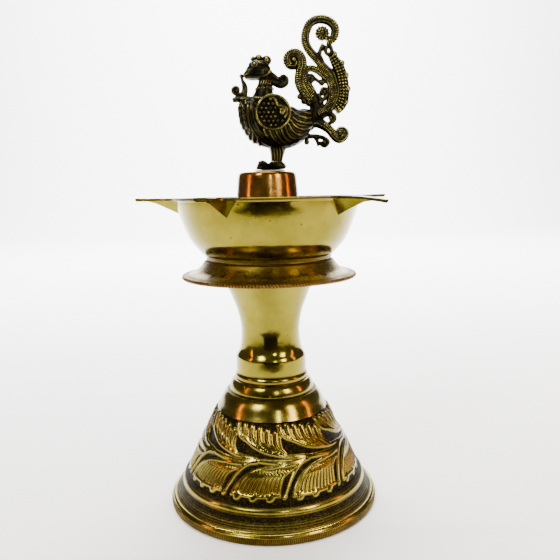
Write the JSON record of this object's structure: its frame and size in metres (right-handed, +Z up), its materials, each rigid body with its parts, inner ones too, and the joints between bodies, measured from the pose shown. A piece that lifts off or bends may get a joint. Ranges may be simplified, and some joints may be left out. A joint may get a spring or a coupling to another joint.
{
  "type": "brass standing oil lamp samai",
  "caption": "Turned brass standing oil lamp: hollow bell foot, waisted stem, drip skirt, bowl with pointed wick spouts and a cast bird finial; its sections unscrew.",
  "frame": {"origin": "on the lamp's axis, in the plane the foot stands on", "axes": "+Z up along the turning axis; the bird looks towards -X and its tail towards +X; -Y is the front"},
  "size_m": [0.132, 0.1323, 0.2389],
  "materials": {
    "foot_brass": "turned and polished, with a blackened embossed field",
    "stem_brass": "turned and polished",
    "skirt_brass": "cast, partly polished, pitted",
    "bowl_brass": "turned and polished outside",
    "washer_leather": "oiled leather",
    "boss_brass": "turned and polished, with a coppery cast",
    "stud_steel": "threaded mild steel",
    "solder": "dull soft solder",
    "bird_brass": "antique black with rubbed highlights"
  },
  "bodies": {
    "foot": {"base_bell": "foot_brass"},
    "stem": {"stem": "stem_brass"},
    "skirt": {"drip_skirt": "skirt_brass"},
    "bowl": {"oil_bowl": "bowl_brass"},
    "washer": {"oil_washer": "washer_leather"},
    "finial": {"centre_boss": "boss_brass", "finial_stud": "stud_steel", "solder_pad": "solder", "bird": "bird_brass"}
  },
  "joints": [
    {"name": "stem_lift", "type": "slide", "parent": "foot", "child": "stem", "axis": [0, 0, 1], "range_m": [0, 0.0105]},
    {"name": "bowl_rise", "type": "slide", "parent": "stem", "child": "skirt", "axis": [0, 0, 1], "range_m": [0, 0.0086]},
    {"name": "bowl_turn", "type": "hinge", "parent": "skirt", "child": "bowl", "pos_m": [0, 0, 0.124], "axis": [0, 0, 1], "range_deg": [0, 1530]},
    {"name": "finial_rise", "type": "slide", "parent": "bowl", "child": "washer", "axis": [0, 0, 1], "range_m": [0, 0.0091]},
    {"name": "finial_turn", "type": "hinge", "parent": "washer", "child": "finial", "pos_m": [0, 0, 0.1408], "axis": [0, 0, 1], "range_deg": [0, 1620]}
  ],
  "couplings": [
    {"joint": "bowl_rise", "follows": "bowl_turn", "m_per_rad": 0.00031831},
    {"joint": "finial_rise", "follows": "finial_turn", "m_per_rad": 0.00031831}
  ]
}
